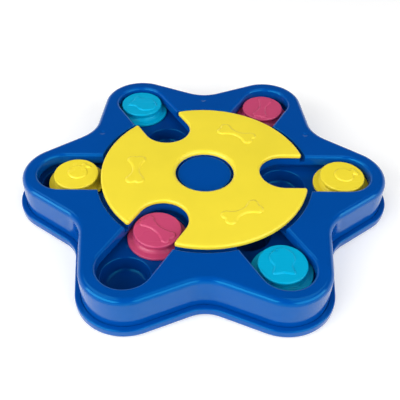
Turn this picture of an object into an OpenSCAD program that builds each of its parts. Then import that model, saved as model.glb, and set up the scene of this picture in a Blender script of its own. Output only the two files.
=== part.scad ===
// Star-shaped treat puzzle for dogs: a turntable with three notches over six sliding lids.
// Millimetres, Z up. The origin is on the ground, under the middle of the turntable.

/* [Star body] */
// Distance from the middle to the centre of each round arm tip
tip_centre = 97.9; // [97.5:0.1:99]
// Radius of the round arm tips, at the deck wall
tip_r = 28.3; // [28:0.1:29]
// Distance from the middle to the centre of each concave arc between two arms
valley_centre = 122.4; // [122:0.1:124]
// Radius of the concave arcs, at the deck wall
valley_r = 25.9; // [24:0.1:26]
// Height of the flat deck above the ground
deck_z = 30; // [30:0.1:31]
// Rounding of the deck's outer edge
deck_round = 4; // [2:0.5:5]
// Wall thickness of the star shell
wall = 2.4; // [2:0.1:2.5]
// Thickness of the deck plate
deck_t = 2.6; // [2.4:0.1:2.8]

/* [Base] */
// How far the base rim stands out past the deck wall
rim_out = 3.8; // [3.2:0.1:4.5]
// Height of the ledge on top of the base rim
rim_z = 7.4; // [7:0.1:8]
// Gap between the shell wall and the base rim
rim_gap = 0.5; // [0.3:0.1:0.8]
// Thickness of the base plate
base_t = 2.4; // [2.4:0.1:2.6]
// Height of the rubber feet below the base plate
foot_drop = 0.8; // [0.8:0.1:1]
// Radius of each rubber foot
foot_r = 7; // [5:0.5:8]

/* [Slots and cups] */
// Distance from the middle to the inner end position of a slider
slot_in = 55; // [54.5:0.1:55.5]
// Distance from the middle to the outer end position of a slider
slot_out = 98; // [97.8:0.1:98.2]
// Half the width of a slot in the deck
slot_hw = 17.5; // [17:0.1:17.8]
// Rounding of the slot's top edge
slot_round = 2.4; // [1.5:0.1:2.4]
// Height of the lower end of the skirt around each slot
skirt_z = 22.6; // [22.6:0.1:23]
// Height of the pan floor that the sliders run over
floor_z = 19; // [18.8:0.1:19]
// Thickness of the pan floor
floor_t = 1.6; // [1.4:0.1:1.8]
// Radius of a treat cup at its rim
cup_rim_r = 15.3; // [15:0.1:15.5]
// Radius of a treat cup at its bottom
cup_bottom_r = 13.9; // [13:0.1:14]
// Height of a treat cup's inner bottom
cup_z = 9.6; // [9:0.1:10]
// Wall thickness of a treat cup
cup_t = 1.5; // [1.2:0.1:1.6]

/* [Sliders] */
// Radius of a slider's cap
cap_r = 15.5; // [15:0.1:15.6]
// Radius of a slider's foot, which runs under the slot's skirt
shoe_r = 19.5; // [19:0.1:19.5]
// Radius of a slider's waist
waist_r = 13.8; // [13:0.1:14.5]
// Height of a cap's flat top below the deck
cap_drop = 2; // [2:0.1:2.4]
// Height of the raised figures on the caps
cap_relief = 0.5; // [0.3:0.1:0.5]

/* [Turntable] */
// Radius of the turntable
disc_r = 71.6; // [71:0.1:72]
// Height of the turntable's top above the deck
disc_rise = 2; // [1.8:0.1:2.2]
// Depth of the turntable's underside below the deck
disc_sink = 1.2; // [1:0.1:1.2]
// Radius of the recess that the turntable sits in
recess_r = 74.5; // [74.2:0.1:75]
// Half the width of each notch
notch_hw = 16.9; // [16.2:0.1:17]
// Radius of the turntable's hole around the hub cap
hub_hole_r = 20.2; // [20:0.1:20.6]
// Rounding of that hole's upper edge
hub_hole_round = 2.8; // [2:0.1:3]
// Radius of the hub cap
hub_r = 18.6; // [18:0.1:19.2]
// Depth of the hub cap's top below the deck
hub_sink = 1.1; // [0.9:0.1:1.3]
// Radius of the hub's bearing surface
bearing_r = 12; // [11:0.1:12.5]
// Radial clearance between the turntable's bore and the hub
running_gap = 0.08; // [0.05:0.01:0.1]

/* [Hidden] */
$fn = 96;

eps = 0.01;
// Gap between a moving piece and what it passes over or beside
clear = 0.3;
// How far the cutters overshoot, and how far the parts of one moulding run into each other
over = 1;
arms = [0:60:300];
arc_steps = 6;

// The sliders at rest: [place along the slot, turn of the figure]
rest_0 = [96.3, 25];
rest_60 = [93, 14];
rest_120 = [97.6, 34];
rest_180 = [89.2, -125];
rest_240 = [61.2, 75];
rest_300 = [93.5, -30];

// Tangent line between a tip arc and the next concave arc
valley_xy = valley_centre * [cos(30), sin(30)];
centre_gap = norm(valley_xy - [tip_centre, 0]);
centre_dir = atan2(valley_xy[1], valley_xy[0] - tip_centre);
flank_dir = centre_dir - acos((tip_r + valley_r) / centre_gap);
flank_len = sqrt(centre_gap ^ 2 - (tip_r + valley_r) ^ 2);
// Each flank bites this far into its tip, and its valley's cut as far into the flank, so that all faces cross
flank_bite = 0.1;
flank_lean = atan(2 * flank_bite / flank_len);
// How far a flank runs on past its valley's first point, how far past its flat faces, and how deep it goes
flank_over = 5;
flank_rise = 1.5;
flank_depth = 12;
// Degrees that keep the corners of the star's core off the ends of the flanks
corner_shift = 1.2;
// How far a rounding's last step runs on, for the flat face to cut it
round_run_on = 1.5;

base_z = foot_drop;
base_top = base_z + base_t;
rim_top_round = 1.2;
rim_foot_round = 2.2;

recess_depth = 2.2;
recess_floor = deck_z - recess_depth;
recess_plate_t = 2.4;
recess_lip = 1;
skirt_t = 2.6;
rail_t = 1.6;
ring_r = 11;
ring_t = 1.6;

cap_z = deck_z - cap_drop;
cap_edge = 0.7;
cap_t = 1.6;
shoe_z = floor_z + clear;
shoe_t = 1.7;
shoe_edge = 0.6;
waist_foot = 2.3;
waist_neck = 0.5;

disc_top = deck_z + disc_rise;
disc_bottom = deck_z - disc_sink;
disc_edge = 1.2;
notches = [0:120:240];
bone_place = 47.6;
bone_relief = 0.6;

// The hub cap's flange, the collar's web under it, and the floor of the well in which the collar runs
hub_top = deck_z - hub_sink;
hub_t = 1.3;
hub_edge = 0.8;
hub_bottom = hub_top - hub_t;
web_t = 1.8;
web_top = hub_bottom - clear;
collar_bottom = web_top - web_t;
collar_wall = 3.6;
collar_r = hub_hole_r + collar_wall;
well_gap = 0.6;
well_r = collar_r + well_gap;
well_z = collar_bottom - clear;
spigot_gap = 0.1;
spigot_r = 5;
boss_r = 9;
boss_z = 20.5;
washer_r = 7.5;
washer_t = 0.8;

// Screws; the pilot holes are tighter than the threads
screw_r = 1.5;
screw_gap = 0.2;
pilot_r = 1.3;
head_r = 3.2;
head_taper = 0.6;
head_t = 2.2;
cross_len = 3.6;
cross_w = 0.8;
cross_depth = 1.1;
hub_screw_len = 6.8;
shell_screw_len = 13;
pilot_spare = 0.9;
shell_screw_place = 87.1;
post_r = 4.2;
post_z = 9;
tray_post_r = 5.4;
screw_seat_depth = 4.8;
screw_seat = base_z + screw_seat_depth;
screw_seat_r = 3.6;

foot_place = 104;
foot_bed = 1;
foot_taper = 0.9;
foot_slack = 0.1;

// Figures on the caps and the turntable: [length, knob radius, shaft width] of a bone
bone_spread = 0.8;
disc_bone = [27, 3.6, 6.4];
cap_bone = [25.4, 3, 5.4];
fish_place = -1.8;
fish_arc_r = 11.7;
fish_arc_sink = 3.9;
fish_eye = [-9, -2.6];
fish_eye_r = 0.9;
fish_tail = [[2, 0], [9.4, 7], [8, 0], [9.4, -7]];
meat_r = 6.9;
meat_place = 1.7;
shank_end = 10.6;
shank_w = 2.8;
knuckle_r = 1.6;

deck_blue = [0.0, 0.29, 0.64];
pan_blue = [0.02, 0.2, 0.48];
sun_yellow = [0.94, 0.86, 0.2];
sea_teal = [0.0, 0.62, 0.78];
rose_pink = [0.79, 0.3, 0.47];
rubber_grey = [0.16, 0.17, 0.2];
steel = [0.72, 0.73, 0.75];

function polar(r, a) = r * [cos(a), sin(a)];

// Two corners of the star's core inside the tip of the arm at angle a
function arm_inside(a) = [for (s = [-1, 1])
    polar(tip_centre, a) + polar(tip_r - flank_depth / 2, a + s * (flank_dir - corner_shift))];

// Four corners of the star's core that reach out past the valley at angle a, for the valley's cut to trim
function valley_plug(a) = [for (c = [[1, 1], [1, 0], [-1, 0], [-1, 1]])
    polar(valley_centre, a)
    + polar(valley_r + (c[1] == 1 ? flank_depth / 2 : -flank_depth / 2),
            a + 180 + c[0] * (flank_dir - 30 - corner_shift))];

function last(list) = list[len(list) - 1];

function shifted(points, out) = [for (p = points) [p[0] + out, p[1]]];

// A rounding that runs on past the face at height 0; the flanks' steps (phase 1) lie between the arcs' steps
function star_round(out, r, phase) =
    let (step = 90 / arc_steps,
         curve = [for (i = [0:arc_steps - 1]) let (t = step * (i + phase / 2))
                  [out - r + r * cos(i == 0 ? 0 : t), r * sin(t) - r]],
         end = last(curve) + round_run_on * ([out - r, 0] - last(curve)))
    r == 0 ? [] : concat(curve, [end]);

// Points of one side of the star, from below its lower face to above its upper face
function star_side(out, low, high, low_round, high_round, phase) =
    let (rise = phase == 1 ? flank_rise : over,
         under = star_round(out, low_round, phase),
         above = star_round(out, high_round, phase),
         x_low = low_round == 0 ? out : last(under)[0],
         x_high = high_round == 0 ? out : last(above)[0])
    concat([[x_low, low - rise]],
           [for (i = [len(under) - 1:-1:0]) [under[i][0], low - under[i][1]]],
           [for (p = above) [p[0], high + p[1]]],
           [[x_high, high + rise]]);

// Points of a quarter round from [x, z - r] up to [x - r, z]
function round_over(x, z, r) =
    [for (i = [0:arc_steps]) [x - r + r * cos(90 * i / arc_steps), z - r + r * sin(90 * i / arc_steps)]];

// Points of a flare from [x, z - r] out to [x + r, z]
function flare(x, z, r) =
    [for (i = [0:arc_steps]) [x + r - r * cos(90 * i / arc_steps), z - r + r * sin(90 * i / arc_steps)]];

// A solid on the star's outline, this far outside the deck wall, with its lower and upper edges rounded
module star(out, low, high, low_round = 0, high_round = 0) {
    arc_side = star_side(out, low, high, low_round, high_round, 0);
    flank_side = star_side(out, low, high, low_round, high_round, 1);
    floor = low - 2 * over;
    roof = high + 2 * over;
    intersection() {
        difference() {
            union() {
                for (a = arms) rotate([0, 0, a]) {
                    translate([tip_centre, 0, 0])
                        rotate_extrude()
                            polygon(concat([[0, low - over]], shifted(arc_side, tip_r), [[0, high + over]]));
                    for (side = [0, 1]) mirror([0, side, 0])
                        translate([tip_centre, 0, 0])
                            translate(concat(polar(tip_r - flank_bite, flank_dir), 0))
                                rotate([90, 0, flank_dir + 180 - flank_lean])
                                    mirror([1, 0, 0])
                                        linear_extrude(flank_len + flank_over)
                                            polygon(concat([[-flank_depth, low - flank_rise]], flank_side,
                                                           [[-flank_depth, high + flank_rise]]));
                }
                translate([0, 0, floor])
                    linear_extrude(roof - floor)
                        polygon([for (a = arms) each concat(arm_inside(a), valley_plug(a + 30))]);
            }
            for (a = arms) rotate([0, 0, a + 30])
                translate([valley_centre, 0, 0])
                    rotate_extrude()
                        polygon(concat([[0, floor - over], [valley_r - arc_side[0][0], floor - over]],
                                       [for (p = arc_side) [valley_r - p[0], p[1]]],
                                       [[valley_r - last(arc_side)[0], roof + over], [0, roof + over]]));
        }
        translate([0, 0, low])
            cylinder(r = valley_centre + tip_r, h = high - low);
    }
}

// A round-ended bar between two heights, along a slot
module track(half_width, low, high) {
    for (x = [slot_in, slot_out])
        translate([x, 0, low])
            cylinder(r = half_width, h = high - low);
    translate([slot_in, -half_width, low])
        cube([slot_out - slot_in, 2 * half_width, high - low]);
}

// The same bar with its top edge flared out, to cut a slot with a rounded lip
module slot_cutter(half_width, low, high, lip) {
    side = concat([[half_width, low]], flare(half_width, high, lip), [[half_width + lip, high + over]]);
    for (x = [slot_in, slot_out])
        translate([x, 0, 0])
            rotate_extrude()
                polygon(concat([[0, low]], side, [[0, high + over]]));
    for (s = [0, 1]) mirror([0, s, 0])
        translate([slot_in, 0, 0])
            rotate([90, 0, 90])
                linear_extrude(slot_out - slot_in)
                    polygon(concat([[-eps, low]], side, [[-eps, high + over]]));
}

module base_tray() {
    color(deck_blue)
    difference() {
        union() {
            difference() {
                star(rim_out, base_z, rim_z, rim_foot_round, rim_top_round);
                star(rim_gap, base_top, rim_z + over);
            }
            for (a = arms) rotate([0, 0, a]) {
                for (x = [slot_in, slot_out])
                    translate([x, 0, base_top - eps])
                        difference() {
                            cylinder(r = ring_r, h = cup_z - cup_t - base_top + eps);
                            translate([0, 0, -over])
                                cylinder(r = ring_r - ring_t, h = cup_z);
                        }
                rotate([0, 0, 30])
                    translate([shell_screw_place, 0, base_top - eps])
                        cylinder(r = tray_post_r, h = post_z - base_top + eps);
            }
        }
        for (a = arms) rotate([0, 0, a]) {
            translate([foot_place, 0, base_z - over])
                cylinder(r = foot_r, h = foot_bed + over);
            rotate([0, 0, 30])
                translate([shell_screw_place, 0, 0]) {
                    cylinder(r = screw_seat_r, h = screw_seat);
                    cylinder(r = screw_r + screw_gap, h = post_z + over);
                }
        }
    }
}

module top_shell() {
    color(deck_blue)
    difference() {
        union() {
            difference() {
                star(0, base_top, deck_z, 0, deck_round);
                star(-wall, base_top - over, deck_z - deck_t);
            }
            translate([0, 0, recess_floor - recess_plate_t])
                cylinder(r = recess_r + wall, h = deck_z - over - recess_floor + recess_plate_t);
            translate([0, 0, well_z - recess_plate_t])
                cylinder(r = well_r + wall, h = recess_floor - over - well_z + recess_plate_t);
            translate([0, 0, boss_z])
                cylinder(r = boss_r, h = well_z - over - boss_z);
            for (a = arms) rotate([0, 0, a]) {
                track(slot_hw + skirt_t, skirt_z, deck_z - deck_t / 2);
                rotate([0, 0, 30])
                    translate([shell_screw_place, 0, post_z])
                        cylinder(r = post_r, h = deck_z - deck_t / 2 - post_z);
            }
        }
        rotate_extrude()
            polygon(concat([[0, well_z], [well_r, well_z], [well_r, recess_floor], [recess_r, recess_floor]],
                           flare(recess_r, deck_z, recess_lip),
                           [[recess_r + recess_lip, deck_z + over], [0, deck_z + over]]));
        for (a = arms) rotate([0, 0, a]) {
            slot_cutter(slot_hw, skirt_z - over, deck_z, slot_round);
            rotate([0, 0, 30])
                translate([shell_screw_place, 0, post_z - over])
                    cylinder(r = pilot_r, h = screw_seat + shell_screw_len + pilot_spare - post_z + over);
        }
        translate([0, 0, boss_z - over])
            cylinder(r = spigot_r + spigot_gap, h = well_z - boss_z + 2 * over);
    }
}

// A pan under one slot: two treat cups, the floor between them and the rail that guides the slider
module slot_pan(a) {
    rail_in = shoe_r + clear;
    color(pan_blue)
    rotate([0, 0, a])
        difference() {
            union() {
                difference() {
                    track(rail_in + rail_t, floor_z - floor_t, skirt_z);
                    track(rail_in, floor_z, skirt_z + over);
                }
                for (x = [slot_in, slot_out])
                    translate([x, 0, cup_z - cup_t])
                        cylinder(r1 = cup_bottom_r + cup_t, r2 = cup_rim_r + cup_t, h = floor_z - cup_z);
            }
            for (x = [slot_in, slot_out])
                translate([x, 0, cup_z])
                    cylinder(r1 = cup_bottom_r, r2 = cup_rim_r, h = floor_z - cup_z + eps);
        }
}

// Figure of a bone, from [length, knob radius, shaft width]
module bone_2d(bone) {
    for (x = [-1, 1], y = [-1, 1])
        translate([x * (bone[0] / 2 - bone[1]), y * bone[1] * bone_spread])
            circle(r = bone[1]);
    square([bone[0] - 2 * bone[1], bone[2]], center = true);
}

// Figure of a fish, its head towards -X
module fish_2d() {
    difference() {
        intersection_for (s = [-1, 1])
            translate([fish_place, s * fish_arc_sink])
                circle(r = fish_arc_r);
        translate(fish_eye)
            circle(r = fish_eye_r);
    }
    polygon(fish_tail);
}

// Figure of a drumstick, its knuckle towards +X
module drumstick_2d() {
    translate([meat_place, 0])
        circle(r = meat_r);
    translate([0, -shank_w / 2])
        square([shank_end, shank_w]);
    for (s = [-1, 1])
        translate([shank_end, s * shank_w / 2])
            circle(r = knuckle_r);
}

// A slider: a cap with a raised figure, a narrow waist and a wide foot
module slider(a, rest, tint) {
    waist_low = shoe_z + shoe_t;
    waist_high = cap_z - cap_t;
    waist = [for (i = [0:2 * arc_steps])
        let (t = i / arc_steps - 1, out = t < 0 ? waist_foot : waist_neck)
        [waist_r + out * t ^ 2, waist_low + (waist_high - waist_low) * i / (2 * arc_steps)]];
    side = concat([[0, shoe_z], [shoe_r, shoe_z]], round_over(shoe_r, waist_low, shoe_edge), waist,
                  [[cap_r, waist_high]], round_over(cap_r, cap_z, cap_edge), [[0, cap_z]]);
    color(tint)
    rotate([0, 0, a])
        translate([rest[0], 0, 0])
            rotate([0, 0, rest[1]]) {
                rotate_extrude()
                    polygon(side);
                translate([0, 0, cap_z - eps])
                    linear_extrude(cap_relief + eps)
                        children();
            }
}

module turntable() {
    color(sun_yellow)
    difference() {
        union() {
            rotate_extrude()
                polygon(concat([[0, disc_bottom], [disc_r, disc_bottom]],
                               round_over(disc_r, disc_top, disc_edge), [[0, disc_top]]));
            for (a = notches) rotate([0, 0, a + 60])
                translate([bone_place, 0, disc_top - eps])
                    rotate([0, 0, 90])
                        linear_extrude(bone_relief + eps)
                            bone_2d(disc_bone);
        }
        for (a = notches) rotate([0, 0, a]) {
            translate([slot_in, 0, disc_bottom - over])
                cylinder(r = notch_hw, h = disc_top - disc_bottom + 2 * over);
            translate([slot_in, -notch_hw, disc_bottom - over])
                cube([disc_r, 2 * notch_hw, disc_top - disc_bottom + 2 * over]);
        }
        rotate_extrude()
            polygon(concat([[0, disc_bottom - over], [hub_hole_r, disc_bottom - over]],
                           flare(hub_hole_r, disc_top, hub_hole_round),
                           [[hub_hole_r + hub_hole_round, disc_top + over], [0, disc_top + over]]));
    }
}

// The turntable's collar: its web runs round the hub, between the hub cap's flange and the floor of the well
module turntable_collar() {
    bore_r = bearing_r + running_gap;
    color(deck_blue)
    rotate_extrude()
        polygon([[bore_r, collar_bottom], [collar_r, collar_bottom], [collar_r, disc_bottom],
                 [hub_hole_r, disc_bottom], [hub_hole_r, web_top], [bore_r, web_top]]);
}

module hub_cap() {
    spigot_z = boss_z + clear;
    color(deck_blue)
    difference() {
        rotate_extrude()
            polygon(concat([[0, spigot_z], [spigot_r, spigot_z], [spigot_r, well_z],
                            [bearing_r, well_z], [bearing_r, hub_bottom], [hub_r, hub_bottom]],
                           round_over(hub_r, hub_top, hub_edge), [[0, hub_top]]));
        translate([0, 0, boss_z - washer_t])
            cylinder(r = pilot_r, h = hub_screw_len + pilot_spare);
    }
}

module hub_washer() {
    color(steel)
    translate([0, 0, boss_z - washer_t])
        difference() {
            cylinder(r = washer_r, h = washer_t);
            translate([0, 0, -over])
                cylinder(r = screw_r + screw_gap, h = washer_t + 2 * over);
        }
}

// A pan-head screw with a cross recess, point up, its head's bearing face at height z
module screw(z, length) {
    translate([0, 0, z]) {
        cylinder(r = screw_r, h = length);
        difference() {
            translate([0, 0, -head_t])
                cylinder(r1 = head_r - head_taper, r2 = head_r, h = head_t);
            for (t = [0, 90]) rotate([0, 0, t])
                translate([-cross_len / 2, -cross_w / 2, -head_t - over])
                    cube([cross_len, cross_w, cross_depth + over]);
        }
    }
}

module hub_screw() {
    color(steel)
    screw(boss_z - washer_t, hub_screw_len);
}

module shell_screws() {
    color(steel)
    for (a = arms) rotate([0, 0, a + 30])
        translate([shell_screw_place, 0, 0])
            screw(screw_seat, shell_screw_len);
}

module foot(a) {
    color(rubber_grey)
    rotate([0, 0, a])
        translate([foot_place, 0, 0])
            rotate_extrude()
                polygon([[0, 0], [foot_r - foot_taper, 0], [foot_r - foot_slack, foot_drop],
                         [foot_r - foot_slack, foot_drop + foot_bed], [0, foot_drop + foot_bed]]);
}

module slider_0() { slider(0, rest_0, sun_yellow) drumstick_2d(); }
module slider_60() { slider(60, rest_60, rose_pink) bone_2d(cap_bone); }
module slider_120() { slider(120, rest_120, sea_teal) fish_2d(); }
module slider_180() { slider(180, rest_180, sun_yellow) drumstick_2d(); }
module slider_240() { slider(240, rest_240, rose_pink) bone_2d(cap_bone); }
module slider_300() { slider(300, rest_300, sea_teal) fish_2d(); }

base_tray();
top_shell();
slot_pan(0);  // slot_pan_0
slot_pan(60);  // slot_pan_60
slot_pan(120);  // slot_pan_120
slot_pan(180);  // slot_pan_180
slot_pan(240);  // slot_pan_240
slot_pan(300);  // slot_pan_300
slider_0();
slider_60();
slider_120();
slider_180();
slider_240();
slider_300();
turntable();
turntable_collar();
hub_cap();
hub_screw();
hub_washer();
shell_screws();
foot(0);  // foot_0
foot(60);  // foot_60
foot(120);  // foot_120
foot(180);  // foot_180
foot(240);  // foot_240
foot(300);  // foot_300
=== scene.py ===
"""Finished mouldings, materials and stage of a star-shaped treat puzzle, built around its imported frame."""
import math

import bmesh
import bpy
from bpy.props import FloatProperty, FloatVectorProperty, PointerProperty
from mathutils import Matrix, Vector


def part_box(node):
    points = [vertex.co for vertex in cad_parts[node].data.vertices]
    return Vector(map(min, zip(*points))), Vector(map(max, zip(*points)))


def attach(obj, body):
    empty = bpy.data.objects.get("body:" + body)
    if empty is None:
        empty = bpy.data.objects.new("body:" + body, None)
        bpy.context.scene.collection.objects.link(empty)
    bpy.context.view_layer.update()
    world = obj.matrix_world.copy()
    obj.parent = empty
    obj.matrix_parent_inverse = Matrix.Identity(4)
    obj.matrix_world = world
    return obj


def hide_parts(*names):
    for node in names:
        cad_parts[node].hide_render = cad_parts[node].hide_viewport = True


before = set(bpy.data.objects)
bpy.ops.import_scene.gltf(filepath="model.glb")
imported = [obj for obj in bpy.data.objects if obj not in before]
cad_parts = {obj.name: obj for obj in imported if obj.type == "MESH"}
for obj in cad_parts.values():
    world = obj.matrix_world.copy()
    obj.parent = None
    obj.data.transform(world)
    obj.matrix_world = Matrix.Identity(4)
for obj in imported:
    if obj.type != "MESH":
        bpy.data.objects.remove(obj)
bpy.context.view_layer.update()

bl_info = {
    "name": "Treat Puzzle",
    "version": (1, 0, 0),
    "blender": (4, 5, 0),
    "location": "View3D > Sidebar > Treat Puzzle",
    "description": "Builds the mouldings, materials and stage of a sliding treat puzzle",
    "category": "Object",
}

MM = 0.001

# Turns of the arms, of the valleys between them and of the turntable's notches, in degrees
ARM_STEP = 60
NOTCH_STEP = 120
ARMS = range(0, 360, ARM_STEP)
VALLEYS = range(ARM_STEP // 2, 360, ARM_STEP)
NOTCHES = range(0, 360, NOTCH_STEP)

# Steps of round outlines and of edge roundings, in degrees, and steps round a turned solid
ARC_STEP = 3
BEND_STEP = 11.25
LATHE_STEPS = 120

# How far cutters overshoot and joined solids run into each other
OVER = 1 * MM
# Distance under which two corners of a mesh are one
WELD = 0.002 * MM
# Edges bent more than this stay crisp
CRISP = math.radians(32)
# Tint of the clear skin on blue plastic
BLUE_SHINE = (0.05, 0.75, 1)

# Boxes of the pieces in the frame
TRAY_LOW, TRAY_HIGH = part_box("base_tray")
SHELL_LOW, SHELL_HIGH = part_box("top_shell")
PAN_LOW, PAN_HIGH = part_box("slot_pan_0")
DISC_LOW, DISC_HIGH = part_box("turntable")
COLLAR_LOW, COLLAR_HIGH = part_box("turntable_collar")
HUB_LOW, HUB_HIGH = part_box("hub_cap")
SLIDER_LOW, SLIDER_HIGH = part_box("slider_0")
# Radius of the turntable, measured opposite a notch
DISC_SIDE = -DISC_LOW.x


# ---------------------------------------------------------------- settings

def size(name, default, description):
    """A length that the user may change, its default in millimetres."""
    return FloatProperty(name=name, default=default * MM, unit="LENGTH", description=description)


def colour(name, default, description):
    """A colour that the user may change."""
    return FloatVectorProperty(name=name, default=default, subtype="COLOR", min=0, max=1,
                               description=description)


class StarSizes(bpy.types.PropertyGroup):
    """Outline and edges of the star-shaped shell and its base tray"""
    tip_radius: size("Tip radius", 28.3, "Radius of each round arm tip at the deck wall")
    valley_centre: size("Valley centre", 122.4, "Distance of each concave arc's centre from the middle")
    valley_radius: size("Valley radius", 25.9, "Radius of the concave arcs at the deck wall")
    deck_round: size("Deck rounding", 4, "Rounding of the deck's outer edge")
    deck_thickness: size("Deck thickness", 2.6, "Thickness of the deck plate")
    wall: size("Wall", 2.4, "Thickness of the shell's outer wall")
    rim_height: size("Rim height", 7.4, "Height of the ledge on the base rim above the ground")
    rim_gap: size("Rim gap", 0.2, "Gap between the shell's wall and the base rim")
    rim_round: size("Rim rounding", 1.2, "Rounding of the rim's upper edge")
    rim_foot_round: size("Rim foot rounding", 2.2, "Rounding of the rim's lower edge")
    post_place: size("Post place", 87.1, "Distance of the screw posts from the middle")


class SlotSizes(bpy.types.PropertyGroup):
    """Slots in the deck and the pans with treat cups under them"""
    inner_end: size("Inner end", 55, "Distance of a slider's inner end position from the middle")
    outer_end: size("Outer end", 98, "Distance of a slider's outer end position from the middle")
    half_width: size("Half width", 17.5, "Half the width of a slot")
    lip: size("Lip", 2.4, "Rounding of a slot's upper edge")
    skirt: size("Skirt", 2.6, "Thickness of the wall around each slot")
    rail: size("Rail", 1.6, "Thickness of the rail around a pan")
    floor: size("Pan floor", 19, "Height of the floor that the sliders run over")
    floor_thickness: size("Floor thickness", 1.6, "Thickness of the pan floor")
    cup_radius: size("Cup radius", 15.3, "Radius of a treat cup at its rim")
    cup_draft: size("Cup draft", 1.4, "How much narrower a cup is at its bottom")
    cup_wall: size("Cup wall", 1.5, "Thickness of a cup's wall")
    cup_lip: size("Cup lip", 0.9, "Rounding of a cup's rim")
    cup_round: size("Cup bottom rounding", 2.2, "Rounding between a cup's wall and its bottom")


class TurntableSizes(bpy.types.PropertyGroup):
    """The notched turntable, the recess it runs in and the hub cap that holds it"""
    recess_radius: size("Recess radius", 74.5, "Radius of the recess in the deck")
    recess_lip: size("Recess lip", 1, "Rounding of the recess's upper edge")
    recess_depth: size("Recess depth", 2.2, "Depth of the recess below the deck")
    recess_plate: size("Recess plate", 2.4, "Thickness of the recess's floor")
    groove_depth: size("Groove depth", 3, "Depth of the groove in the recess, round the turntable's rim")
    well_gap: size("Well gap", 0.6, "Gap between the turntable's collar and the well around it")
    running_gap: size("Running gap", 0.3, "Gap above and below the collar's web")
    web: size("Web", 1.8, "Thickness of the collar's web under the hub cap")
    edge_round: size("Edge rounding", 1.5, "Rounding of the turntable's upper edges")
    notch_half_width: size("Notch half width", 16.9, "Half the width of a notch")
    notch_corner: size("Notch corner", 1.6, "Rounding of a notch's outer corners, seen from above")
    bone_relief: size("Bone relief", 0.8, "Height of the bones on the turntable")
    bone_slope: size("Bone slope", 1.7, "Width of the rounded slope around each bone")
    bone_place: size("Bone place", 47.6, "Distance of the bones from the middle")
    hole_radius: size("Hole radius", 20.2, "Radius of the turntable's hole around the hub cap")
    hole_round: size("Hole rounding", 2.8, "Rounding of that hole's upper edge")
    bore_radius: size("Bore radius", 12.08, "Radius of the collar's bore")
    bearing_radius: size("Bearing radius", 12, "Radius of the hub's bearing")
    spigot_radius: size("Spigot radius", 5, "Radius of the hub's spigot")
    hub_edge: size("Hub edge", 0.8, "Rounding of the hub cap's upper edge")


class SliderSizes(bpy.types.PropertyGroup):
    """A slider: its cap, waist and foot"""
    cap_radius: size("Cap radius", 15.5, "Radius of the cap")
    cap_thickness: size("Cap thickness", 1.8, "Height of the cap's edge")
    cap_round: size("Cap rounding", 1, "Rounding of the cap's upper edge")
    waist_radius: size("Waist radius", 13.8, "Least radius of the waist")
    foot_thickness: size("Foot thickness", 1.7, "Thickness of the foot's edge")
    foot_round: size("Foot rounding", 0.6, "Rounding of the foot's upper edge")
    figure_slope: size("Figure slope", 1.2, "Width of the rounded slope around each figure")
    figure_relief: size("Figure relief", 0.8, "Height of the raised figure")


class FinishColours(bpy.types.PropertyGroup):
    """Pigments of the mouldings"""
    shell_blue: colour("Shell blue", (0.0, 0.067, 0.346), "Pigment of the shell, base and hub")
    # The pans' blue is the shell's plastic made darker as painted shade, for the shade in the slots and cups
    pan_blue: colour("Pan blue", (0.0, 0.043, 0.24), "Pigment of the pans under the slots")
    yellow: colour("Yellow", (0.90, 0.725, 0.038), "Pigment of the turntable and two sliders")
    teal: colour("Teal", (0.0005, 0.39, 0.65), "Pigment of two sliders")
    pink: colour("Pink", (0.57, 0.063, 0.165), "Pigment of two sliders")


class StageSettings(bpy.types.PropertyGroup):
    """Camera and lights around the toy"""
    aim: FloatVectorProperty(name="Aim", default=(-2.683 * MM, 4.854 * MM, -1.6 * MM), subtype="XYZ",
                             unit="LENGTH", description="Point that the camera looks at")
    distance: size("Distance", 468.7, "Distance of the camera from its aim")
    turn: FloatProperty(name="Turn", default=math.radians(-1.251), subtype="ANGLE",
                        description="How far the camera stands to the right of the front")
    height: FloatProperty(name="Height", default=math.radians(43.572), subtype="ANGLE",
                          description="Angle at which the camera looks down")
    roll: FloatProperty(name="Roll", default=math.radians(1.341), subtype="ANGLE",
                        description="Roll of the camera about its line of sight")
    lens: FloatProperty(name="Lens", default=57.47, description="Focal length in millimetres")
    top_glow: FloatProperty(name="Top lights", default=1.4, min=0,
                            description="Brightness of the two soft lights overhead")
    side_glow: FloatProperty(name="Side lights", default=4.4, min=0,
                             description="Brightness of the two soft lights left and right of the camera")


class PuzzleSettings(bpy.types.PropertyGroup):
    """All settings of the treat puzzle"""
    star: PointerProperty(type=StarSizes)
    slots: PointerProperty(type=SlotSizes)
    turntable: PointerProperty(type=TurntableSizes)
    slider: PointerProperty(type=SliderSizes)
    finish: PointerProperty(type=FinishColours)
    stage: PointerProperty(type=StageSettings)


# ---------------------------------------------------------------- outlines and profiles

def polar(radius, angle):
    return Vector((radius * math.cos(angle), radius * math.sin(angle)))


def arc(centre, radius, start, end):
    """Path along an arc whose outward direction turns from start to end, in degrees.

    A negative radius makes a hollow arc.
    """
    steps = max(2, math.ceil(abs(end - start) / ARC_STEP))
    turns = [math.radians(start + (end - start) * i / steps) for i in range(steps + 1)]
    return [(Vector(centre) + polar(radius, turn), polar(1, turn)) for turn in turns]


def turned(path, degrees):
    spin = Matrix.Rotation(math.radians(degrees), 2)
    return [(spin @ point, spin @ outward) for point, outward in path]


def shifted(path, offset):
    return [(point + Vector(offset), outward) for point, outward in path]


def around(path, turns):
    """Copies of a path, one for each turn."""
    return [turned(path, degrees) for degrees in turns]


def chained(path, turns):
    """One path of turned copies of this one, each joined to the next."""
    return [step for part in around(path, turns) for step in part]


def bend(out, height, radius, start, end):
    """Profile steps round an edge: 0 degrees points outward and 90 upward."""
    steps = max(1, round(abs(end - start) / BEND_STEP))
    turns = [math.radians(start + (end - start) * i / steps) for i in range(steps + 1)]
    return [(out + radius * math.cos(turn), height + radius * math.sin(turn)) for turn in turns]


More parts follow.
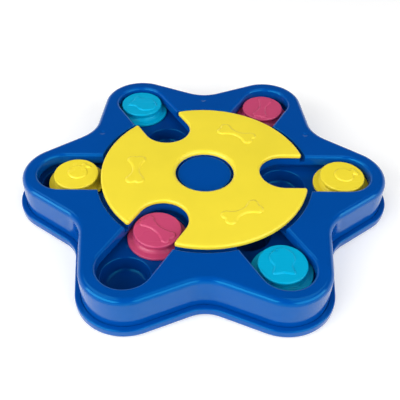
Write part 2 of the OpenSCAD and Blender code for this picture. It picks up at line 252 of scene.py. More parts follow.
def round_edge(out, height, radius):
    """Profile of a rounded upper edge that ends at its flat top."""
    return bend(out - radius, height - radius, radius, 0, 90)


def round_foot(out, height, radius):
    """Profile of a rounded lower edge that starts at its flat underside."""
    return bend(out - radius, height + radius, radius, -90, 0)


def flared_edge(out, height, radius):
    """Profile of a cutter that leaves a rounded lip at this height."""
    return bend(out + radius, height - radius, radius, 180, 90)


def flared_mouth(out, height, radius):
    """Upper end of a turned cutter: it leaves a rounded lip at this height and runs on past it."""
    return flared_edge(out, height, radius) + [(out + radius, height + OVER), (0, height + OVER)]


def star_path(star):
    """The star's outline at the deck wall: round tips, straight flanks and hollow valleys."""
    tip_centre = SHELL_HIGH.x - star.tip_radius
    valley = polar(star.valley_centre, math.radians(VALLEYS[0]))
    gap = valley - Vector((tip_centre, 0))
    lean = math.acos((star.tip_radius + star.valley_radius) / gap.length)
    flank = math.degrees(math.atan2(gap.y, gap.x) - lean)
    arm = (arc((tip_centre, 0), star.tip_radius, -flank, flank)
           + arc(valley, -star.valley_radius, flank, ARM_STEP - flank))
    return chained(arm, ARMS)


def track_path(slots, half_width):
    """A round-ended bar along the slot of the first arm."""
    return (arc((slots.outer_end, 0), half_width, -90, 90)
            + arc((slots.inner_end, 0), half_width, 90, 270))


def turntable_path(disc, slots):
    """The turntable's outline: a circle with three round-ended notches."""
    radius = DISC_SIDE
    side = disc.notch_half_width
    corner_y = side + disc.notch_corner
    corner_x = math.sqrt((radius - disc.notch_corner) ** 2 - corner_y ** 2)
    lean = math.degrees(math.atan2(corner_y, corner_x))
    notch = (arc((corner_x, -corner_y), disc.notch_corner, -lean, 90)
             + arc((slots.inner_end, 0), -side, 90, -90)
             + arc((corner_x, corner_y), disc.notch_corner, -90, lean)
             + arc((0, 0), radius, lean, NOTCH_STEP - lean))
    return chained(notch, NOTCHES)


def filleted(corners):
    """Closed path through corners of (x, y, rounding) in millimetres, anticlockwise."""
    path = []
    for i, (x, y, radius) in enumerate(corners):
        here = Vector((x, y)) * MM
        into = (here - Vector(corners[i - 1][:2]) * MM).normalized()
        away = (Vector(corners[(i + 1) % len(corners)][:2]) * MM - here).normalized()
        turn = math.degrees(math.atan2(into.x * away.y - into.y * away.x, into.dot(away)))
        side = math.copysign(radius * MM, turn)
        left = Vector((-into.y, into.x))
        centre = here - into * abs(side) * math.tan(math.radians(abs(turn) / 2)) + left * side
        start = math.degrees(math.atan2(-left.y, -left.x))
        path += arc(centre, side, start, start + turn)
    return path


def mirrored(corners):
    """Closed path through a figure's lower corners, from left to right, and their mirror images."""
    upper = [(x, -y, radius) for x, y, radius in reversed(corners) if y != 0]
    return filleted(corners + upper)


def bone_path(length, knob, span, waist):
    """A bone: four round knobs, joined by hollow arcs along its sides and at its ends.

    Its length, its knobs' radius, its span across two knobs and its waist are in millimetres.
    """
    knob_x = length / 2 - knob
    knob_y = span / 2 - knob
    side = (knob_x ** 2 + (waist / 2 - knob_y) ** 2 - knob ** 2) / (2 * (knob + knob_y - waist / 2))
    dent = knob / 2
    dent_x = math.sqrt((dent + knob) ** 2 - knob_y ** 2)
    end_lean = math.degrees(math.atan2(knob_y, dent_x))
    side_lean = math.degrees(math.atan2(waist / 2 + side - knob_y, -knob_x))
    half = (arc(((knob_x + dent_x) * MM, 0), -dent * MM, end_lean, -end_lean)
            + arc((knob_x * MM, knob_y * MM), knob * MM, -end_lean, side_lean)
            + arc((0, (waist / 2 + side) * MM), -side * MM, side_lean, 180 - side_lean)
            + arc((-knob_x * MM, knob_y * MM), knob * MM, 180 - side_lean, 180 + end_lean))
    return half + turned(half, 180)


def fish_path():
    """A plump fish, its head towards -X."""
    return mirrored([(-15, 0, 6.5), (-5.5, -10, 7.5), (2.6, -5.4, 3), (9.4, -7.6, 1.3), (7.8, 0, 3)])


def drumstick_path():
    """A drumstick, its knuckle towards +X."""
    ham = mirrored([(-7.2, -6.9, 6.6), (3.2, -6.9, 5.5), (5.4, -2.2, 0.8), (6.6, -2.1, 0.6),
                    (7, -4.3, 1.5), (10, -3.2, 1.5), (9, 0, 1)])
    return shifted(ham, (2.2 * MM, 0))


def cap_bone_path():
    return bone_path(length=26, knob=2.9, span=11, waist=5.2)


# Figure, pigment and turn of each slider's cap
SLIDERS = {
    0: (drumstick_path, "yellow", 25),
    60: (cap_bone_path, "pink", 14),
    120: (fish_path, "teal", 34),
    180: (drumstick_path, "yellow", -125),
    240: (cap_bone_path, "pink", 75),
    300: (fish_path, "teal", -30),
}


# ---------------------------------------------------------------- solids

def swept(name, paths, profile, ring=False):
    """Solids swept round closed paths by a profile of (outward, height).

    They are capped at both ends, unless the profile is a ring.
    """
    solid = bmesh.new()
    for path in paths:
        loops = [[solid.verts.new((point + out * outward).to_3d() + Vector((0, 0, height)))
                  for point, outward in path] for out, height in profile]
        pairs = list(zip(loops, loops[1:]))
        if ring:
            pairs.append((loops[-1], loops[0]))
        else:
            solid.faces.new(reversed(loops[0]))
            solid.faces.new(loops[-1])
        for low, high in pairs:
            for i in range(len(path)):
                solid.faces.new((low[i - 1], low[i], high[i], high[i - 1]))
    bmesh.ops.remove_doubles(solid, verts=solid.verts, dist=WELD)
    mesh = bpy.data.meshes.new(name)
    solid.to_mesh(mesh)
    solid.free()
    piece = bpy.data.objects.new(name, mesh)
    bpy.context.scene.collection.objects.link(piece)
    return piece


def slab(name, paths, low, high):
    """Upright solids on closed paths."""
    return swept(name, paths, [(0, low), (0, high)])


def spin_path(centre=(0, 0)):
    """Path of no radius, for a profile that is turned about a point."""
    return [(Vector(centre), polar(1, 2 * math.pi * i / LATHE_STEPS)) for i in range(LATHE_STEPS)]


def lathed(name, profile, centres=((0, 0),), ring=False):
    """Solids turned about upright axes at these centres."""
    return swept(name, [spin_path(centre) for centre in centres], profile, ring)


def drum(name, radius, low, high, centres=((0, 0),)):
    return lathed(name, [(0, low), (radius, low), (radius, high), (0, high)], centres)


def tube(name, inner, outer, low, high, centres=((0, 0),)):
    profile = [(inner, low), (outer, low), (outer, high), (inner, high)]
    return lathed(name, profile, centres, ring=True)


def places(radius, turns):
    """Points at one distance from the middle."""
    return [polar(radius, math.radians(degrees)) for degrees in turns]


def worked(piece, operation, *tools):
    """Joins or cuts a piece with tool solids, which are used up."""
    for tool in tools:
        step = piece.modifiers.new(operation, "BOOLEAN")
        step.operation = operation
        step.solver = "MANIFOLD"
        step.object = tool
    depsgraph = bpy.context.evaluated_depsgraph_get()
    mesh = bpy.data.meshes.new_from_object(piece.evaluated_get(depsgraph))
    piece.modifiers.clear()
    piece.data = mesh
    for tool in tools:
        bpy.data.objects.remove(tool)


def finished(piece, material, body, node):
    """Shades a closed moulding, gives it its material and puts it in its node's place."""
    solid = bmesh.new()
    solid.from_mesh(piece.data)
    bmesh.ops.remove_doubles(solid, verts=solid.verts, dist=WELD)
    bmesh.ops.dissolve_degenerate(solid, edges=solid.edges, dist=WELD)
    open_edges = sum(not edge.is_manifold for edge in solid.edges)
    solid.to_mesh(piece.data)
    solid.free()
    if open_edges or not piece.data.polygons:
        raise RuntimeError(f"{piece.name} isn't closed: {open_edges} open edges")
    piece.data.materials.clear()
    piece.data.materials.append(material)
    piece.data.shade_smooth()
    piece.data.set_sharp_from_angle(angle=CRISP)
    smooth = piece.modifiers.new("Even shading", "WEIGHTED_NORMAL")
    smooth.keep_sharp = True
    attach(piece, body)
    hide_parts(node)


# Steps up the side of a raised figure: outward in parts of its slope and upward in parts of its relief
FIGURE_SIDE = ((0.25, -0.4), (0.12, 0.06), (0, 0.25), (-0.25, 0.6), (-0.55, 0.88), (-0.85, 1))


def figure_profile(base, relief, slope):
    """Profile of a low raised figure: a soft foot and a slope that rounds over into its top."""
    return [(out * slope, base + rise * relief) for out, rise in FIGURE_SIDE]


# ---------------------------------------------------------------- materials

class Wire:
    """An output of a shader node; arithmetic on it adds Math nodes."""

    def __init__(self, shader, output):
        self.shader = shader
        self.output = output

    def math(self, operation, first, second):
        return self.shader.node("ShaderNodeMath", {"operation": operation}, {0: first, 1: second})

    def __add__(self, other):
        return self.math("ADD", self, other)

    def __sub__(self, other):
        return self.math("SUBTRACT", self, other)

    def __rsub__(self, other):
        return self.math("SUBTRACT", other, self)

    def __mul__(self, other):
        return self.math("MULTIPLY", self, other)

    __radd__ = __add__
    __rmul__ = __mul__

    def blend(self, low, high):
        """low where this is 0 and high where it is 1."""
        return self * (high - low) + low


class Shader:
    """A node tree that is built from expressions."""

    def __init__(self, owner):
        owner.use_nodes = True
        self.tree = owner.node_tree
        self.tree.nodes.clear()

    def node(self, kind, settings=None, values=None, output=0):
        """Adds a node: its settings first, then the values or links of its sockets."""
        node = self.tree.nodes.new(kind)
        for name, value in (settings or {}).items():
            if name == "stops":
                for stop, (place, shade) in zip(node.color_ramp.elements, value):
                    stop.position = place
                    stop.color = (shade, shade, shade, 1)
            else:
                setattr(node, name, value)
        for name, value in (values or {}).items():
            if isinstance(value, Wire):
                self.tree.links.new(value.output, node.inputs[name])
            else:
                node.inputs[name].default_value = value
        return Wire(self, node.outputs[output]) if node.outputs else None

    def noise(self, place, scale, detail=2.0):
        return self.node("ShaderNodeTexNoise", None, {"Vector": place, "Scale": scale, "Detail": detail})

    def ramp(self, value, low, high):
        """0 below low and 1 above high."""
        return self.node("ShaderNodeValToRGB", {"stops": ((low, 0), (high, 1))}, {"Fac": value})

    def mix(self, factor, first, second):
        return self.node("ShaderNodeMix", {"data_type": "RGBA"}, {0: factor, 6: first, 7: second}, output=2)

    def ray(self, kind):
        """1 for rays of this kind and 0 for others."""
        return self.node("ShaderNodeLightPath", output=f"Is {kind} Ray")

    def bump(self, height, strength, depth):
        return self.node("ShaderNodeBump", None, {"Strength": strength, "Distance": depth, "Height": height})

    def coat(self, values):
        """Ends a material in one surface with these values."""
        surface = self.node("ShaderNodeBsdfPrincipled", None, values)
        self.node("ShaderNodeOutputMaterial", None, {"Surface": surface})


def blank_material(name):
    """A new material, its shader, and the place of each point on the piece that wears it."""
    material = bpy.data.materials.new(name)
    shader = Shader(material)
    return material, shader, shader.node("ShaderNodeTexCoord", output="Object")


# Plastic: frequencies per metre of its slow clouds, its fine skin, and its scuffs along and across them
CLOUD_SCALE = 30
SKIN_SCALE = 1500
SCUFF_SCALE = (45, 2600, 45)
# Lean of the scuffs, and the levels of their noise at which one begins and is full
SCUFF_LEAN = (0, 0, 0.6)
SCUFF_LEVELS = (0.70, 0.76)
# Shades of the pigment between which the clouds drift, and how far they raise the surface beside its grain
CLOUD_SHADES = (0.93, 1.06)
CLOUD_RISE = 0.6
# What clouds and scuffs add to the roughness
CLOUD_HAZE = 0.05
SCUFF_HAZE = 0.08

# Steel: frequencies of its turning marks, and its greys
MARK_SCALE = (200, 200, 6000)
STEEL_GREYS = ((0.42, 0.43, 0.45, 1), (0.62, 0.63, 0.64, 1))

# Rubber: frequency of its pebbled skin, and its greys
PEBBLE_SCALE = 2200
RUBBER_GREYS = ((0.018, 0.02, 0.026, 1), (0.035, 0.038, 0.046, 1))


def tinted(pigment, shade):
    """A pigment made darker or lighter, with its alpha."""
    return tuple(min(1, part * shade) for part in pigment) + (1,)


def moulded(name, pigment, gloss, grain, shine=(1, 1, 1), shine_level=0.5):
    """Moulded plastic: slow clouds in its pigment and gloss, a fine skin and a few hairline scuffs.

    The shine's colour and level belong to the clear skin over the pigment.
    """
    material, shader, place = blank_material(name)
    clouds = shader.noise(place, CLOUD_SCALE, 3)
    skin = shader.noise(place, SKIN_SCALE)
    along = shader.node("ShaderNodeMapping", None,
                        {"Vector": place, "Rotation": SCUFF_LEAN, "Scale": SCUFF_SCALE})
    scuffs = shader.ramp(shader.noise(along, 1, 1), *SCUFF_LEVELS)
    height = skin * grain + clouds * CLOUD_RISE
    dark, light = [tinted(pigment, shade) for shade in CLOUD_SHADES]
    shader.coat({
        "Base Color": shader.mix(clouds, dark, light),
        "Roughness": clouds * CLOUD_HAZE + scuffs * SCUFF_HAZE + gloss,
        "Specular IOR Level": shine_level,
        "Specular Tint": shine + (1,),
        "Normal": shader.bump(height, strength=0.3, depth=0.03 * MM),
    })
    return material


def plated_steel():
    """Zinc-plated screw steel with fine turning marks."""
    material, shader, place = blank_material("plated steel")
    stretched = shader.node("ShaderNodeMapping", None, {"Vector": place, "Scale": MARK_SCALE})
    marks = shader.noise(stretched, 1)
    shader.coat({
        "Base Color": shader.mix(marks, *STEEL_GREYS),
        "Metallic": 1,
        "Roughness": marks.blend(0.22, 0.42),
        "Normal": shader.bump(marks, strength=0.2, depth=0.02 * MM),
    })
    return material


def grip_rubber():
    """Matt grey rubber with a pebbled skin."""
    material, shader, place = blank_material("grip rubber")
    pebbles = shader.noise(place, PEBBLE_SCALE, 3)
    shader.coat({
        "Base Color": shader.mix(pebbles, *RUBBER_GREYS),
        "Roughness": pebbles.blend(0.6, 0.8),
        "Normal": shader.bump(pebbles, strength=0.6, depth=0.05 * MM),
    })
    return material


def blue_shell_plastic(settings):
    """The plastic that base, shell, hub cap and collar share."""
    name = "shell blue plastic"
    known = bpy.data.materials.get(name)
    return known or moulded(name, settings.finish.shell_blue, gloss=0.1, grain=0.25,
                            shine=BLUE_SHINE, shine_level=0.65)


def refinished(nodes, material):
    """Gives the frame's own meshes of these nodes a finish."""
    for node in nodes:
        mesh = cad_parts[node].data
        mesh.materials.clear()
        mesh.materials.append(material)


# ---------------------------------------------------------------- operators

class BaseTrayBuild(bpy.types.Operator):
    """Build the base tray with its raised rim, posts and support rings"""
    bl_idname = "treat_puzzle.base_tray"
    bl_label = "Base Tray"

    POST_RADIUS = 5.4 * MM
    # Inner and outer radius of the ring under each cup
    RING = (9.4 * MM, 11 * MM)
    RING_TOP = 8.1 * MM
    THICKNESS = 2.4 * MM
    BED_DEPTH = 1 * MM
    FOOT_PLACE = 104 * MM
    FOOT_RADIUS = 7 * MM
    SEAT_RADIUS = 3.6 * MM
    SEAT_DEPTH = 4.8 * MM
    HOLE_RADIUS = 1.7 * MM
    INNER_EDGE = 0.3 * MM

    def execute(self, context):
        settings = context.scene.treat_puzzle
        star, slots = settings.star, settings.slots
        low, floor = TRAY_LOW.z, TRAY_LOW.z + self.THICKNESS
        out = TRAY_HIGH.x - SHELL_HIGH.x
        top, edge = star.rim_height, self.INNER_EDGE
        profile = (round_foot(out, low, star.rim_foot_round)
                   + round_edge(out, top, star.rim_round)
                   + bend(star.rim_gap + edge, top - edge, edge, 90, 180)
                   + [(star.rim_gap, floor)])
        tray = swept("moulded_base_tray", [star_path(star)], profile)
        cups = places(slots.inner_end, ARMS) + places(slots.outer_end, ARMS)
        posts = places(star.post_place, VALLEYS)
        feet = places(self.FOOT_PLACE, ARMS)
        worked(tray, "UNION",
               tube("support rings", *self.RING, floor - OVER, self.RING_TOP, cups),
               drum("posts", self.POST_RADIUS, floor - OVER, TRAY_HIGH.z, posts))
        worked(tray, "DIFFERENCE",
               drum("foot beds", self.FOOT_RADIUS, low - OVER, low + self.BED_DEPTH, feet),
               drum("screw seats", self.SEAT_RADIUS, low - OVER, low + self.SEAT_DEPTH, posts),
               drum("screw holes", self.HOLE_RADIUS, low, TRAY_HIGH.z + OVER, posts))
        finished(tray, blue_shell_plastic(settings), "tray", "base_tray")
        return {"FINISHED"}


class TopShellBuild(bpy.types.Operator):
    """Build the star-shaped deck with its wall, recess, slots and posts"""
    bl_idname = "treat_puzzle.top_shell"
    bl_label = "Top Shell"

    BOSS_RADIUS = 9 * MM
    BOSS_LOW = 20.5 * MM
    POST_RADIUS = 4.2 * MM
    PILOT_RADIUS = 1.3 * MM
    PILOT_TOP = 19.5 * MM
    SPIGOT_GAP = 0.1 * MM
    # Shallow sink marks over three of the posts: radius, depth and how far their cutter stands out
    SINK = (2.4 * MM, 0.4 * MM, 0.03 * MM)
    SINK_ANGLES = (30, 90, 150)
    SINK_STEPS = 6
    # Groove in the recess: thickness of the shell inside and below it, and its reach under the turntable
    GROOVE_WALL = 1.8 * MM
    GROOVE_SIDE = 0.6 * MM

    def sink_mark(self, deck):
        """Profile of the shallow round cutter for a sink mark."""
        radius, depth, rise = self.SINK
        curve = (radius ** 2 + depth ** 2) / (2 * depth)
        widest = math.sqrt(2 * curve * (depth + rise))
        outs = [widest * i / self.SINK_STEPS for i in range(self.SINK_STEPS + 1)]
        return [(out, deck - depth + out ** 2 / (2 * curve)) for out in outs] + [(0, deck + rise)]

    def execute(self, context):
        settings = context.scene.treat_puzzle
        star, slots, disc = settings.star, settings.slots, settings.turntable
        low, deck = SHELL_LOW.z, SHELL_HIGH.z
        ceiling = deck - star.deck_thickness
        skirt_low = PAN_HIGH.z
        recess_floor = deck - disc.recess_depth
        recess_low = recess_floor - disc.recess_plate
        well = COLLAR_LOW.z - disc.running_gap
        well_radius = COLLAR_HIGH.x + disc.well_gap
        plate_radius = disc.recess_radius + star.wall
        groove_inner = DISC_SIDE - self.GROOVE_SIDE
        groove_floor = recess_floor - disc.groove_depth
        profile = ([(-star.wall, ceiling), (-star.wall, low), (0, low)]
                   + round_edge(0, deck, star.deck_round))
        shell = swept("moulded_top_shell", [star_path(star)], profile)
        posts = places(star.post_place, VALLEYS)
        track = track_path(slots, slots.half_width + slots.skirt)
        worked(shell, "UNION",
               drum("recess plate", plate_radius, recess_low, deck - OVER),
               tube("groove ring", groove_inner - self.GROOVE_WALL, plate_radius,
                    groove_floor - self.GROOVE_WALL, recess_low + OVER),
               drum("well wall", well_radius + star.wall, well - disc.recess_plate, recess_floor - OVER),
               drum("hub boss", self.BOSS_RADIUS, self.BOSS_LOW, well - OVER),
               slab("skirts", around(track, ARMS), skirt_low, ceiling + OVER),
               drum("posts", self.POST_RADIUS, TRAY_HIGH.z, ceiling + OVER, posts))
        recess = ([(0, well), (well_radius, well), (well_radius, recess_floor),
                   (groove_inner, recess_floor), (groove_inner, groove_floor),
                   (disc.recess_radius, groove_floor)]
                  + flared_mouth(disc.recess_radius, deck, disc.recess_lip))
        slot = [(0, skirt_low - OVER)] + flared_edge(0, deck, slots.lip) + [(slots.lip, deck + OVER)]
        marks = places(star.post_place, self.SINK_ANGLES)
        worked(shell, "DIFFERENCE",
               lathed("recess", recess),
               swept("slots", around(track_path(slots, slots.half_width), ARMS), slot),
               drum("pilot holes", self.PILOT_RADIUS, TRAY_HIGH.z - OVER, self.PILOT_TOP, posts),
               drum("spigot hole", disc.spigot_radius + self.SPIGOT_GAP, self.BOSS_LOW - OVER, deck),
               lathed("sink marks", self.sink_mark(deck), marks))
        finished(shell, blue_shell_plastic(settings), "tray", "top_shell")
        return {"FINISHED"}


class SlotPansBuild(bpy.types.Operator):
    """Build the six pans with their rails and treat cups"""
    bl_idname = "treat_puzzle.slot_pans"
    bl_label = "Slot Pans"

    def execute(self, context):
        settings = context.scene.treat_puzzle
        slots = settings.slots
        # This pigment is darker than the shell's blue: painted shade for the pans that lie under the slots
        plastic = moulded("pan blue plastic", settings.finish.pan_blue, gloss=0.09, grain=0.3,
                          shine=BLUE_SHINE, shine_level=0.5)
        floor, low = slots.floor, slots.floor - slots.floor_thickness
        outer = PAN_HIGH.x - slots.outer_end
        inner = outer - slots.rail
        bottom = PAN_LOW.z + slots.cup_wall
        bottom_radius = slots.cup_radius - slots.cup_draft
        cup = ([(0, bottom)] + round_foot(bottom_radius, bottom, slots.cup_round)
               + flared_mouth(slots.cup_radius, floor, slots.cup_lip))
        # The cups' outer walls end inside the pan's floor
        joint = low + OVER / 2
        jacket = [(0, PAN_LOW.z), (bottom_radius + slots.cup_wall, PAN_LOW.z),
                  (slots.cup_radius + slots.cup_wall, joint), (0, joint)]
        for arm in ARMS:
            cups = [polar(end, math.radians(arm)) for end in (slots.inner_end, slots.outer_end)]
            outline, channel = [around(track_path(slots, side), [arm]) for side in (outer, inner)]
            pan = slab(f"moulded_slot_pan_{arm}", outline, low, PAN_HIGH.z)
            worked(pan, "DIFFERENCE", slab("channel", channel, floor, PAN_HIGH.z + OVER))
            worked(pan, "UNION", lathed("cup walls", jacket, cups))
            worked(pan, "DIFFERENCE", lathed("cups", cup, cups))
            finished(pan, plastic, "tray", f"slot_pan_{arm}")
        return {"FINISHED"}


class TurntableBuild(bpy.types.Operator):
    """Build the notched turntable with its three raised bones"""
    bl_idname = "treat_puzzle.turntable"
    bl_label = "Turntable"

    LOWER_EDGE = 0.4 * MM
    # Turn that lays a bone across its arm
    CROSSWISE = 90

    def execute(self, context):
        settings = context.scene.treat_puzzle
        disc, slots = settings.turntable, settings.slots
        low, top = DISC_LOW.z, DISC_HIGH.z - disc.bone_relief
        profile = round_foot(0, low, self.LOWER_EDGE) + round_edge(0, top, disc.edge_round)
        table = swept("moulded_turntable", [turntable_path(disc, slots)], profile)
        hole = ([(0, low - OVER), (disc.hole_radius, low - OVER)]
                + flared_mouth(disc.hole_radius, top, disc.hole_round))
        bone = turned(bone_path(length=28, knob=3.6, span=12.8, waist=4.8), self.CROSSWISE)
        between_notches = [notch + ARM_STEP for notch in NOTCHES]
        bones = around(shifted(bone, (disc.bone_place, 0)), between_notches)
        raised = figure_profile(top, disc.bone_relief, disc.bone_slope)
        worked(table, "DIFFERENCE", lathed("hub hole", hole))
        worked(table, "UNION", swept("bones", bones, raised))
        plastic = moulded("turntable yellow plastic", settings.finish.yellow, gloss=0.3, grain=0.8)
        finished(table, plastic, "turntable", "turntable")
        return {"FINISHED"}


class TurntableCollarBuild(bpy.types.Operator):
    """Build the turntable's collar, which runs on the hub's bearing"""
    bl_idname = "treat_puzzle.turntable_collar"
    bl_label = "Turntable Collar"

    # Groove round the hub cap: how far it reaches under the cap, and what it leaves of the collar's web
    GROOVE_REACH = 0.3 * MM
    GROOVE_SKIN = 0.7 * MM

    def execute(self, context):
        settings = context.scene.treat_puzzle
        disc = settings.turntable
        low, top = COLLAR_LOW.z, DISC_LOW.z
        web_top, groove_floor = low + disc.web, low + self.GROOVE_SKIN
        groove = HUB_HIGH.x - self.GROOVE_REACH
        profile = [(disc.bore_radius, low), (COLLAR_HIGH.x, low), (COLLAR_HIGH.x, top),
                   (disc.hole_radius, top), (disc.hole_radius, groove_floor),
                   (groove, groove_floor), (groove, web_top), (disc.bore_radius, web_top)]
        collar = lathed("moulded_turntable_collar", profile, ring=True)
        finished(collar, blue_shell_plastic(settings), "turntable", "turntable_collar")
        return {"FINISHED"}


class HubCapBuild(bpy.types.Operator):
    """Build the hub cap with its bearing and spigot"""
    bl_idname = "treat_puzzle.hub_cap"
    bl_label = "Hub Cap"

    LOWER_EDGE = 0.25 * MM
    # Radius and top of the screw's pilot hole
    PILOT = (1.3 * MM, 27.4 * MM)

    def execute(self, context):
        settings = context.scene.treat_puzzle
        disc = settings.turntable
        radius, low, top = HUB_HIGH.x, HUB_LOW.z, HUB_HIGH.z
        well = COLLAR_LOW.z - disc.running_gap
        flange = COLLAR_LOW.z + disc.web + disc.running_gap
        pilot_radius, pilot_top = self.PILOT
        profile = ([(0, low), (disc.spigot_radius, low), (disc.spigot_radius, well),
                    (disc.bearing_radius, well), (disc.bearing_radius, flange)]
                   + round_foot(radius, flange, self.LOWER_EDGE)
                   + round_edge(radius, top, disc.hub_edge) + [(0, top)])
        cap = lathed("moulded_hub_cap", profile)
        worked(cap, "DIFFERENCE", drum("pilot", pilot_radius, low - OVER, pilot_top))
        finished(cap, blue_shell_plastic(settings), "tray", "hub_cap")
        return {"FINISHED"}


class SlidersBuild(bpy.types.Operator):
    """Build the six sliders with the raised figures on their caps"""
    bl_idname = "treat_puzzle.sliders"
    bl_label = "Sliders"

    LOWER_EDGE = 0.3 * MM
    # How far the waist widens towards the foot and towards the cap
    WAIST_SPREAD = (2.3 * MM, 1.6 * MM)
    WAIST_STEPS = 14
    # Tint of the clear skin over each pigment
    SHINES = {"yellow": (1, 0.95, 0.7), "pink": (1, 0.8, 0.85), "teal": (0.15, 0.85, 1)}
    # Dimple for a fish's eye: its place on the cap, radius and depth
    EYE_PLACE = (-9.6 * MM, -3.4 * MM)
    EYE = (0.9 * MM, 0.4 * MM)

    def waist(self, radius, low, high):
        """Hollow curve of a slider's waist between two heights."""
        foot_spread, cap_spread = self.WAIST_SPREAD
        curve = []
        for i in range(self.WAIST_STEPS + 1):
            rise = 2 * i / self.WAIST_STEPS - 1
            spread = foot_spread if rise < 0 else cap_spread
            curve.append((radius + spread * rise ** 2, low + (high - low) * i / self.WAIST_STEPS))
        return curve

    def execute(self, context):
        settings = context.scene.treat_puzzle
        slider, finish = settings.slider, settings.finish
        plastics = {}
        for name, shine in self.SHINES.items():
            plastics[name] = moulded(f"slider {name} plastic", getattr(finish, name),
                                     gloss=0.24, grain=0.6, shine=shine)
        for arm, (figure, pigment, turn) in SLIDERS.items():
            node = f"slider_{arm}"
            low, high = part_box(node)
            centre = (low + high).to_2d() / 2
            foot_radius = (SLIDER_HIGH.y - SLIDER_LOW.y) / 2
            top = high.z - slider.figure_relief
            foot_top = low.z + slider.foot_thickness
            cap_low = top - slider.cap_thickness
            edge = self.LOWER_EDGE
            profile = ([(0, low.z)] + round_foot(foot_radius, low.z, edge)
                       + round_edge(foot_radius, foot_top, slider.foot_round)
                       + self.waist(slider.waist_radius, foot_top, cap_low)
                       + round_foot(slider.cap_radius, cap_low, edge)
                       + round_edge(slider.cap_radius, top, slider.cap_round) + [(0, top)])
            piece = lathed(f"moulded_{node}", profile, [centre])
            outline = shifted(turned(figure(), arm + turn), centre)
            raised = figure_profile(top, slider.figure_relief, slider.figure_slope)
            worked(piece, "UNION", swept("figure", [outline], raised))
            if figure is fish_path:
                radius, depth = self.EYE
                eye = centre + Matrix.Rotation(math.radians(arm + turn), 2) @ Vector(self.EYE_PLACE)
                worked(piece, "DIFFERENCE", drum("eye", radius, high.z - depth, high.z + OVER, [eye]))
            finished(piece, plastics[pigment], node, node)
        return {"FINISHED"}


class FastenersFinish(bpy.types.Operator):
    """Finish the screws and the washer"""
    bl_idname = "treat_puzzle.fasteners"
    bl_label = "Fasteners"

    def execute(self, context):
        refinished(("hub_screw", "hub_washer", "shell_screws"), plated_steel())
        return {"FINISHED"}


class FeetFinish(bpy.types.Operator):
    """Finish the rubber feet"""
    bl_idname = "treat_puzzle.feet"
    bl_label = "Feet"

    def execute(self, context):
        refinished([f"foot_{arm}" for arm in ARMS], grip_rubber())
        return {"FINISHED"}


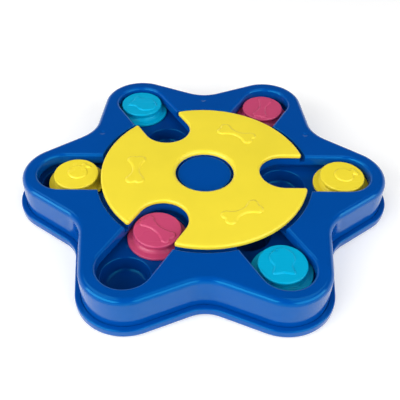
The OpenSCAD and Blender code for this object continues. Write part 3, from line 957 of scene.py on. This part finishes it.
class StageBuild(bpy.types.Operator):
    """Set up the camera, the floor and the soft lights"""
    bl_idname = "treat_puzzle.stage"
    bl_label = "Stage"

    NEAR_CLIP = 10 * MM
    # Paper floor: its side, grain and greys, its own glow, and the distances over which it fades to white
    FLOOR_SIZE = 6.0
    PAPER_SCALE = 300
    PAPER_GREYS = ((0.83, 0.83, 0.83, 1), (0.87, 0.87, 0.87, 1))
    FLOOR_GLOW = 0.3
    FLOOR_FADE = (0.35, 0.95)
    # Upward parts of a ray between which the white world turns dim, and how bright it stays overhead
    DIM_BETWEEN = (0.18, 0.45)
    DIM_GLOW = 0.05
    # Name, place, width, length and share of each soft light: two hang level overhead, and two hang
    # left and right of the camera and face the toy
    OVERHEAD = (("upper left light", (-0.53, 0.0, 1.0), 0.64, 1.1, 1.0),
                ("upper right light", (0.43, 0.0, 1.0), 0.54, 1.1, 0.7))
    BESIDE = (("left light", (-0.95, -0.75, 0.72), 1.7, 0.75, 1.0),
              ("right light", (0.95, -0.75, 0.72), 1.7, 0.75, 0.7))

    def camera(self, context, stage):
        """The camera at its turn, height and distance from the aim, rolled about its line of sight."""
        back = Vector((math.sin(stage.turn) * math.cos(stage.height),
                       -math.cos(stage.turn) * math.cos(stage.height), math.sin(stage.height)))
        right = (-back).cross(Vector((0, 0, 1))).normalized()
        up = right.cross(-back)
        tilt_right = math.cos(stage.roll) * right + math.sin(stage.roll) * up
        tilt_up = math.cos(stage.roll) * up - math.sin(stage.roll) * right
        data = bpy.data.cameras.new("camera")
        data.lens = stage.lens
        data.clip_start = self.NEAR_CLIP
        camera = bpy.data.objects.new("camera", data)
        turn = Matrix((tilt_right, tilt_up, back)).transposed().to_4x4()
        camera.matrix_world = Matrix.Translation(Vector(stage.aim) + back * stage.distance) @ turn
        context.scene.collection.objects.link(camera)
        context.scene.camera = camera

    def soft_light(self, context, name, place, width, length, glow):
        """A flat light whose power grows with its area, so that it looks as bright as its glow."""
        data = bpy.data.lights.new(name, "AREA")
        data.shape = "RECTANGLE"
        data.size = width
        data.size_y = length
        data.energy = glow * math.pi * width * length
        light = bpy.data.objects.new(name, data)
        light.location = place
        context.scene.collection.objects.link(light)
        return light

    def floor(self, context):
        """The pale paper under the toy.

        Its own glow shows to the eye and in reflections, and lights nothing.
        """
        material, shader, place = blank_material("pale floor")
        paper = shader.mix(shader.noise(place, self.PAPER_SCALE, 3), *self.PAPER_GREYS)
        matt = shader.node("ShaderNodeBsdfPrincipled", None,
                           {"Base Color": paper, "Roughness": 1, "Specular IOR Level": 0})
        rays = shader.ray("Camera") + shader.ray("Glossy") + shader.ray("Transmission")
        glow = shader.node("ShaderNodeEmission", None, {"Strength": rays * self.FLOOR_GLOW})
        near = shader.node("ShaderNodeAddShader", None, {0: matt, 1: glow})
        white = shader.node("ShaderNodeEmission", None, {"Strength": rays})
        distance = shader.node("ShaderNodeVectorMath", {"operation": "LENGTH"}, {0: place}, output="Value")
        far = shader.ramp(distance, *self.FLOOR_FADE)
        surface = shader.node("ShaderNodeMixShader", None, {0: far, 1: near, 2: white})
        shader.node("ShaderNodeOutputMaterial", None, {"Surface": surface})
        half = self.FLOOR_SIZE / 2
        mesh = bpy.data.meshes.new("floor")
        corners = [(-half, -half, 0), (half, -half, 0), (half, half, 0), (-half, half, 0)]
        mesh.from_pydata(corners, [], [(0, 1, 2, 3)])
        mesh.materials.append(material)
        plane = bpy.data.objects.new("floor", mesh)
        context.scene.collection.objects.link(plane)

    def surroundings(self, context):
        """A world that is white to the camera, and to the toy only near the horizon and below."""
        world = bpy.data.worlds.new("studio")
        context.scene.world = world
        shader = Shader(world)
        direction = shader.node("ShaderNodeTexCoord", output="Generated")
        height = shader.node("ShaderNodeSeparateXYZ", None, {"Vector": direction}, output="Z")
        dim = shader.ramp(height, *self.DIM_BETWEEN)
        seen = shader.ray("Camera")
        strength = seen + (1 - seen) * (1 - dim).blend(self.DIM_GLOW, 1)
        surface = shader.node("ShaderNodeBackground", None, {"Color": (1, 1, 1, 1), "Strength": strength})
        shader.node("ShaderNodeOutputWorld", None, {"Surface": surface})

    def execute(self, context):
        stage = context.scene.treat_puzzle.stage
        self.camera(context, stage)
        self.floor(context)
        self.surroundings(context)
        for name, place, width, length, share in self.OVERHEAD:
            self.soft_light(context, name, place, width, length, share * stage.top_glow)
        for name, place, width, length, share in self.BESIDE:
            light = self.soft_light(context, name, place, width, length, share * stage.side_glow)
            light.rotation_euler = (-Vector(place)).to_track_quat("-Z", "Y").to_euler()
        context.scene.view_settings.view_transform = "Standard"
        return {"FINISHED"}


class PuzzlePanel(bpy.types.Panel):
    """Settings and building steps of the treat puzzle"""
    bl_idname = "TREATPUZZLE_PT_main"
    bl_label = "Treat Puzzle"
    bl_space_type = "VIEW_3D"
    bl_region_type = "UI"
    bl_category = "Treat Puzzle"

    def draw(self, context):
        settings = context.scene.treat_puzzle
        for group in (settings.star, settings.slots, settings.turntable, settings.slider,
                      settings.finish, settings.stage):
            box = self.layout.box()
            box.label(text=group.bl_rna.description)
            for name in group.__annotations__:
                box.prop(group, name)
        for operator in OPERATORS:
            self.layout.operator(operator.bl_idname)


SETTINGS = (StarSizes, SlotSizes, TurntableSizes, SliderSizes, FinishColours, StageSettings, PuzzleSettings)
OPERATORS = (StageBuild, BaseTrayBuild, TopShellBuild, SlotPansBuild, TurntableBuild, TurntableCollarBuild,
             HubCapBuild, SlidersBuild, FastenersFinish, FeetFinish)


def register():
    for part in SETTINGS + OPERATORS + (PuzzlePanel,):
        bpy.utils.register_class(part)
    bpy.types.Scene.treat_puzzle = PointerProperty(type=PuzzleSettings)


def unregister():
    del bpy.types.Scene.treat_puzzle
    for part in reversed(SETTINGS + OPERATORS + (PuzzlePanel,)):
        bpy.utils.unregister_class(part)


def main():
    register()
    bpy.ops.treat_puzzle.stage()
    bpy.ops.treat_puzzle.base_tray()
    bpy.ops.treat_puzzle.top_shell()
    bpy.ops.treat_puzzle.slot_pans()
    bpy.ops.treat_puzzle.turntable()
    bpy.ops.treat_puzzle.turntable_collar()
    bpy.ops.treat_puzzle.hub_cap()
    bpy.ops.treat_puzzle.sliders()
    bpy.ops.treat_puzzle.fasteners()
    bpy.ops.treat_puzzle.feet()


if __name__ == "__main__":
    main()
